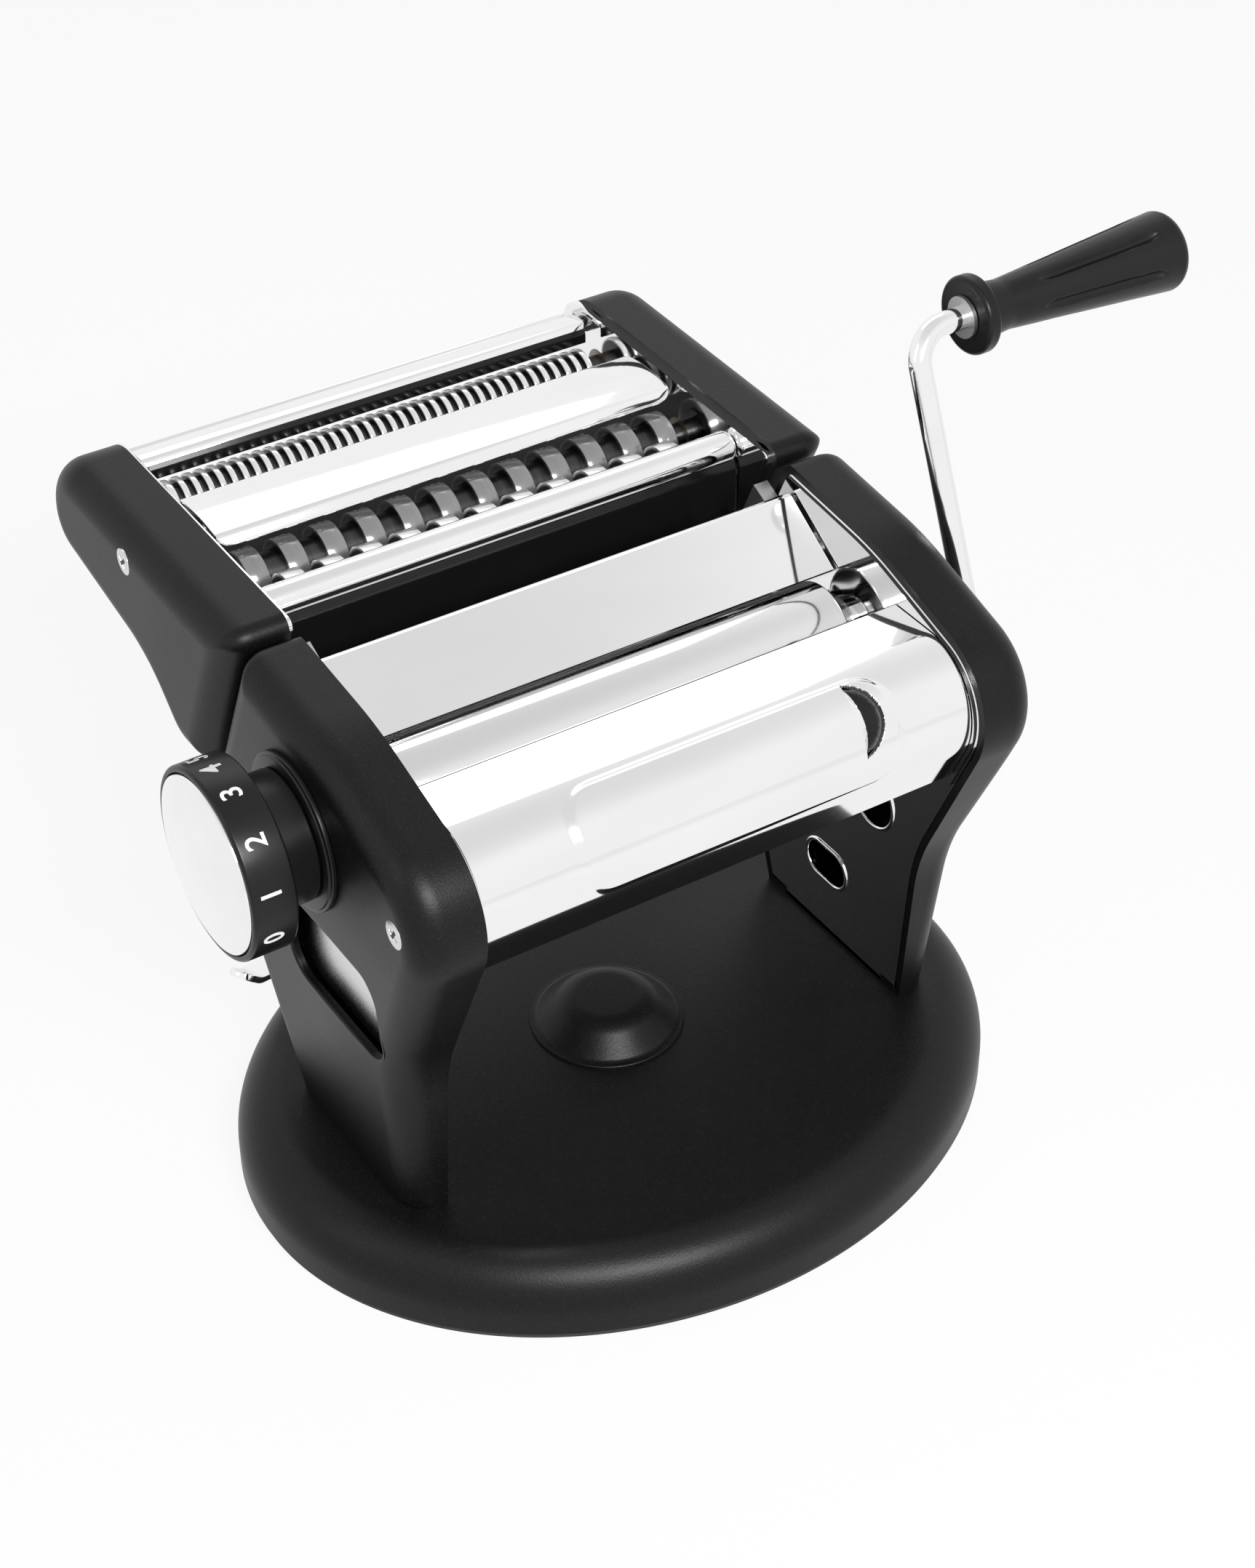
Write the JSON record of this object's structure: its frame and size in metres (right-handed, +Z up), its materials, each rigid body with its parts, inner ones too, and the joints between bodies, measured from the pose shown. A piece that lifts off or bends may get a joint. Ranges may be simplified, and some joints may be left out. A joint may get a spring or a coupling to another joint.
{
  "type": "pasta roller machine",
  "caption": "Hand-cranked pasta roller machine on an oval suction base, with smooth rollers, a thickness dial and a lift-off cutter attachment.",
  "frame": {"origin": "on the floor under the middle of the oval base", "axes": "+X along the rollers towards the crank, +Y towards the cutter attachment, +Z up"},
  "size_m": [0.3477, 0.2606, 0.243],
  "materials": {
    "coat": "black satin powder coat with a fine texture",
    "chrome": "polished",
    "steel": "plain steel",
    "cutter_metal": "machined",
    "bronze": "sintered bronze",
    "plastic": "black satin plastic",
    "comb_plastic": "dark grey plastic",
    "rubber": "black rubber"
  },
  "bodies": {
    "frame": {"base_shell": "coat", "base_ring": "rubber", "mechanism_cap": "coat", "lever_bracket": "steel", "left_side_cover": "coat", "right_side_cover": "coat", "left_side_frame": "steel", "right_side_frame": "steel", "left_end_plate": "chrome", "right_end_plate": "chrome", "frame_screws": "steel", "front_shell": "chrome", "hopper_plate": "chrome", "rear_shell": "chrome", "tie_rods": "chrome", "roller_scrapers": "steel", "front_bushes": "bronze", "drive_bush": "bronze", "dial_collar": "plastic", "cutter_rails": "steel"},
    "crank": {"crank_rod": "chrome", "drive_shaft": "steel", "crank_pinion": "steel", "grip_washer": "steel"},
    "grip": {"crank_grip": "plastic"},
    "front_roller": {"front_roller": "chrome", "front_roller_gear": "steel", "drive_gear": "steel"},
    "carriage": {"left_bearing_block": "steel", "right_bearing_block": "steel", "carriage_bar": "chrome"},
    "rear_roller": {"rear_roller": "chrome", "rear_roller_gear": "steel"},
    "dial_cam": {"cam_shaft": "steel", "dial_spring": "steel"},
    "dial": {"dial_knob": "plastic", "dial_cap": "chrome"},
    "cutter": {"cutter_left_cover": "coat", "cutter_right_cover": "coat", "cutter_left_plate": "chrome", "cutter_right_plate": "chrome", "cutter_screws": "steel", "cutter_bushes": "bronze", "cutter_front_bar": "chrome", "cutter_mid_guide": "chrome", "cutter_rear_guide": "chrome", "cutter_tie_rods": "chrome", "cutter_combs": "comb_plastic"},
    "wide_front": {"wide_cutter_front": "cutter_metal", "wide_gear_front": "steel"},
    "wide_rear": {"wide_cutter_rear": "cutter_metal", "wide_gear_rear": "steel"},
    "fine_front": {"fine_cutter_front": "cutter_metal", "fine_gear_front": "steel"},
    "fine_rear": {"fine_cutter_rear": "cutter_metal", "fine_gear_rear": "steel"},
    "lever": {"lever_shaft": "chrome", "suction_lever": "chrome"},
    "cup": {"suction_stem": "steel", "suction_cup": "rubber"}
  },
  "joints": [
    {"name": "crank_turn", "type": "hinge", "parent": "frame", "child": "crank", "pos_m": [0, -0.0244, 0.13461], "axis": [1, 0, 0], "continuous": true},
    {"name": "grip_spin", "type": "hinge", "parent": "crank", "child": "grip", "pos_m": [0, 0.01657, 0.2302], "axis": [1, 0, 0], "continuous": true},
    {"name": "front_roller_spin", "type": "hinge", "parent": "frame", "child": "front_roller", "pos_m": [0, -0.0315, 0.1495], "axis": [1, 0, 0], "continuous": true},
    {"name": "roller_gap", "type": "slide", "parent": "frame", "child": "carriage", "axis": [0, 1, 0], "range_m": [0, 0.0024]},
    {"name": "rear_roller_spin", "type": "hinge", "parent": "carriage", "child": "rear_roller", "pos_m": [0, 0, 0.1495], "axis": [1, 0, 0], "continuous": true},
    {"name": "dial_turn", "type": "hinge", "parent": "frame", "child": "dial_cam", "pos_m": [0, 0, 0.1495], "axis": [-1, 0, 0], "range_deg": [0, 320]},
    {"name": "dial_pull", "type": "slide", "parent": "dial_cam", "child": "dial", "axis": [-1, 0, 0], "range_m": [0, 0.004], "stiffness_N_per_m": 600, "springref_m": -0.002, "deforming": ["dial_spring"]},
    {"name": "cutter_lift", "type": "slide", "parent": "frame", "child": "cutter", "axis": [0, -0.4215, 0.9068], "range_m": [0, 0.035]},
    {"name": "wide_spin", "type": "hinge", "parent": "cutter", "child": "wide_front", "pos_m": [0, 0.0705, 0.171], "axis": [1, 0, 0], "continuous": true},
    {"name": "wide_rear_spin", "type": "hinge", "parent": "cutter", "child": "wide_rear", "pos_m": [0, 0.0879, 0.171], "axis": [1, 0, 0], "continuous": true},
    {"name": "fine_spin", "type": "hinge", "parent": "cutter", "child": "fine_front", "pos_m": [0, 0.121, 0.173], "axis": [1, 0, 0], "continuous": true},
    {"name": "fine_rear_spin", "type": "hinge", "parent": "cutter", "child": "fine_rear", "pos_m": [0, 0.1354, 0.173], "axis": [1, 0, 0], "continuous": true},
    {"name": "lever_turn", "type": "hinge", "parent": "frame", "child": "lever", "pos_m": [0, 0.005, 0.013], "axis": [-0.4602, 0.8878, 0], "range_deg": [0, 140]},
    {"name": "cup_lift", "type": "slide", "parent": "frame", "child": "cup", "axis": [0, 0, 1], "range_m": [0, 0.00302]}
  ],
  "couplings": [
    {"joint": "front_roller_spin", "follows": "crank_turn", "ratio": -1},
    {"joint": "rear_roller_spin", "follows": "crank_turn", "ratio": 1},
    {"joint": "dial_turn", "follows": "roller_gap", "rad_per_m": 2327.1},
    {"joint": "wide_rear_spin", "follows": "wide_spin", "ratio": -1},
    {"joint": "fine_rear_spin", "follows": "fine_spin", "ratio": -1},
    {"joint": "cup_lift", "follows": "lever_turn", "m_per_rad": 0.0012306}
  ]
}
